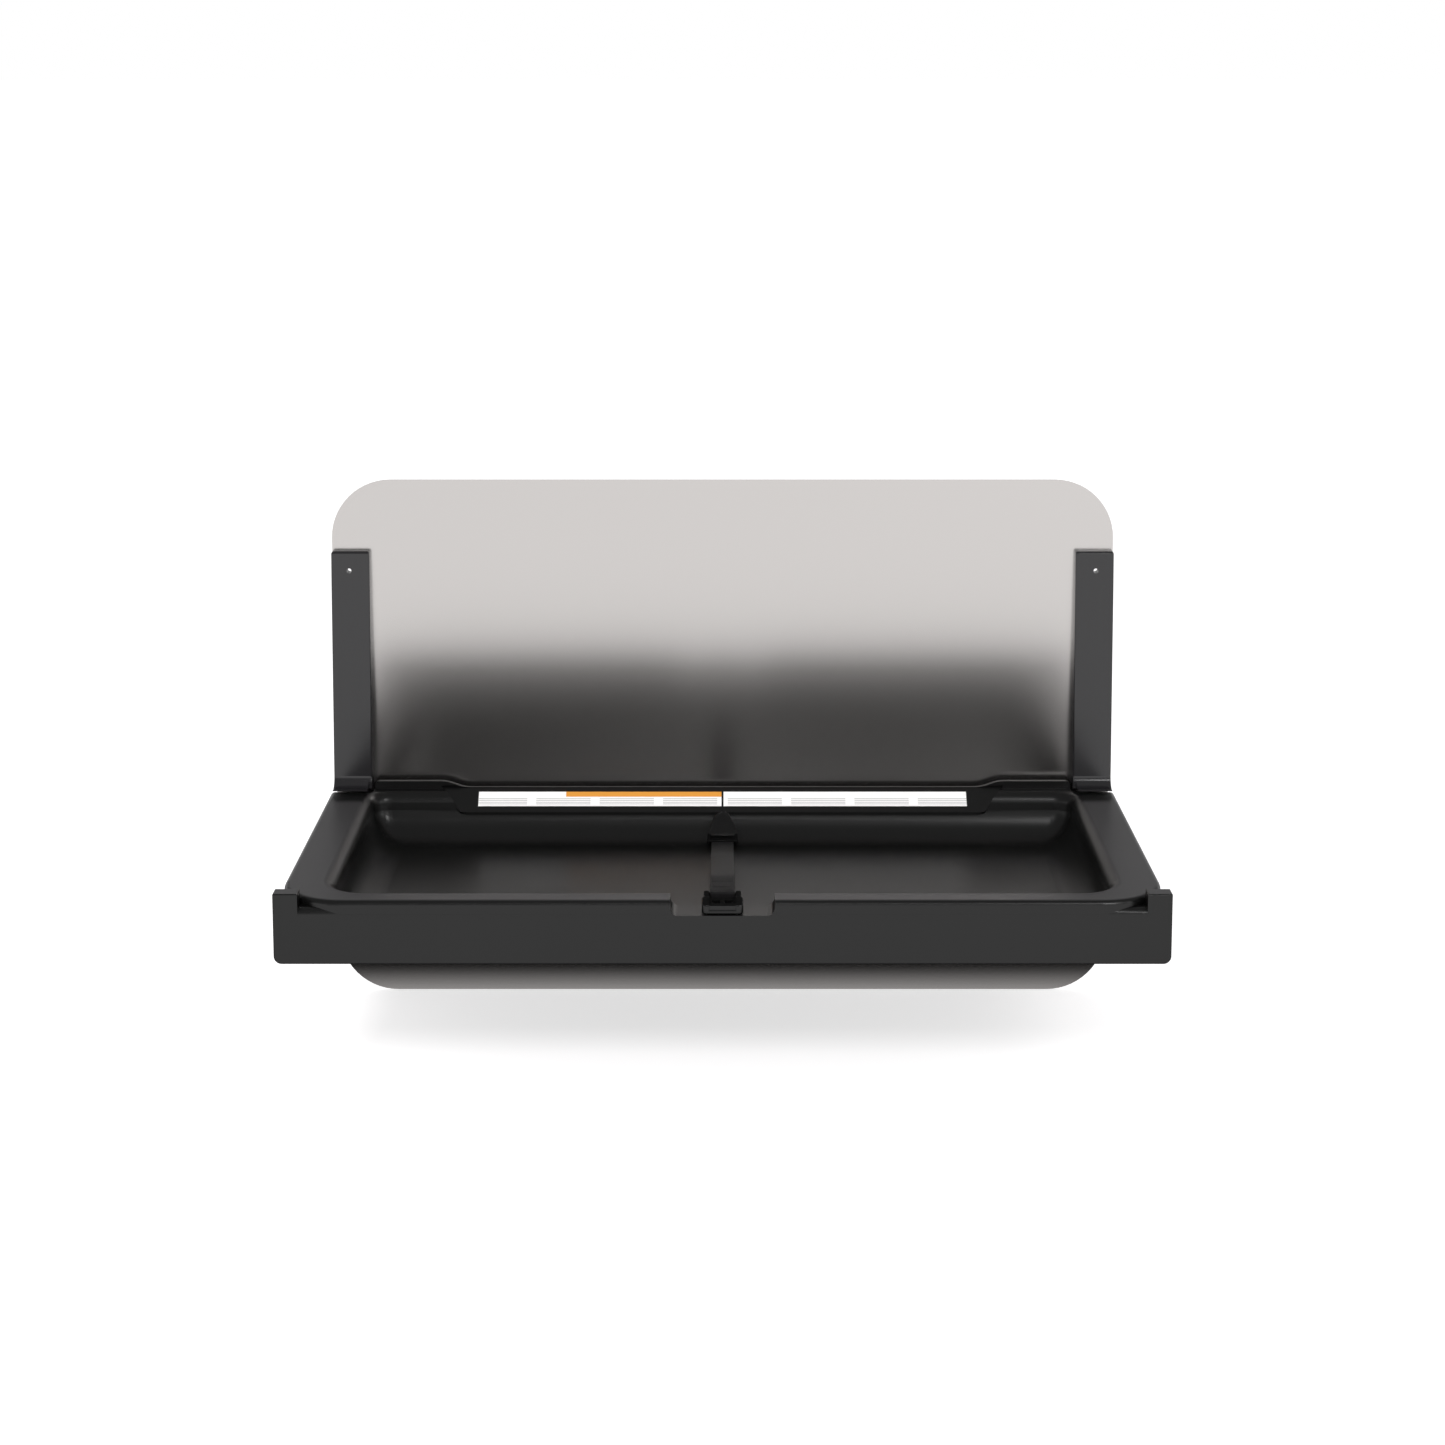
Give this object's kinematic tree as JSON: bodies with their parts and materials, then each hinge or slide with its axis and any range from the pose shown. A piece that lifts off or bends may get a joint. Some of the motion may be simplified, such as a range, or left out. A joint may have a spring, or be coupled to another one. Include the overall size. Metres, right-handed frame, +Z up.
{
  "type": "wall-mounted baby changing station",
  "caption": "Wall-mounted fold-down changing station: steel wall plate, side arms, moulded bed with basin and front apron, and a safety strap with a side-release buckle.",
  "frame": {"origin": "centre of the wall plate's back face, which lies on the wall", "axes": "+X to the right along the wall as seen by a user, +Y into the wall, +Z up; the bed is down and stands out towards -Y"},
  "size_m": [0.901, 0.426, 0.602],
  "materials": {
    "satin_steel": "satin",
    "arm_plastic": "fine texture",
    "bed_plastic": "fine texture",
    "gloss_plastic": "gloss",
    "buckle_plastic": "semi-gloss",
    "damper_plastic": "matte",
    "bush_plastic": "natural",
    "webbing": "woven",
    "label_film": "satin",
    "buffer_rubber": "matte",
    "frame_steel": "powder coat",
    "pin_steel": "ground",
    "plated_steel": "zinc plated"
  },
  "bodies": {
    "wall_frame": {"wall_plate": "satin_steel", "arm_left": "arm_plastic", "arm_right": "arm_plastic", "arm_screws": "plated_steel", "hinge_bracket_left": "frame_steel", "hinge_bracket_right": "frame_steel", "bracket_studs": "plated_steel", "bracket_nuts": "plated_steel", "hinge_bushing_left": "bush_plastic", "hinge_bushing_right": "bush_plastic", "damper_housing_left": "damper_plastic", "damper_housing_right": "damper_plastic", "damper_screws": "plated_steel"},
    "bed": {"bed_tray": "bed_plastic", "bed_shell": "bed_plastic", "shell_screws": "plated_steel", "rear_bumpers": "buffer_rubber", "side_rail_left": "frame_steel", "side_rail_right": "frame_steel", "rear_beam": "frame_steel", "front_beam": "frame_steel", "beam_bolts": "plated_steel", "hinge_pin_left": "pin_steel", "hinge_pin_right": "pin_steel", "pin_clips": "plated_steel", "stop_pins": "pin_steel", "damper_rotor_left": "bush_plastic", "damper_rotor_right": "bush_plastic", "label_left": "label_film", "label_right": "label_film", "strap_guide": "gloss_plastic", "strap_guide_screws": "plated_steel", "strap": "webbing", "buckle_webbing": "webbing", "buckle_housing": "buckle_plastic", "anchor_plate": "plated_steel", "anchor_screws": "plated_steel"},
    "tongue": {"buckle_tongue": "buckle_plastic"}
  },
  "joints": [
    {"name": "bed_fold", "type": "hinge", "parent": "wall_frame", "child": "bed", "pos_m": [0, -0.058, -0.072], "axis": [-1, 0, 0], "range_deg": [0, 90]},
    {"name": "buckle_release", "type": "slide", "parent": "bed", "child": "tongue", "axis": [0, 0.9976, 0.0698], "range_m": [0, 0.022], "deforming": ["strap"]}
  ]
}
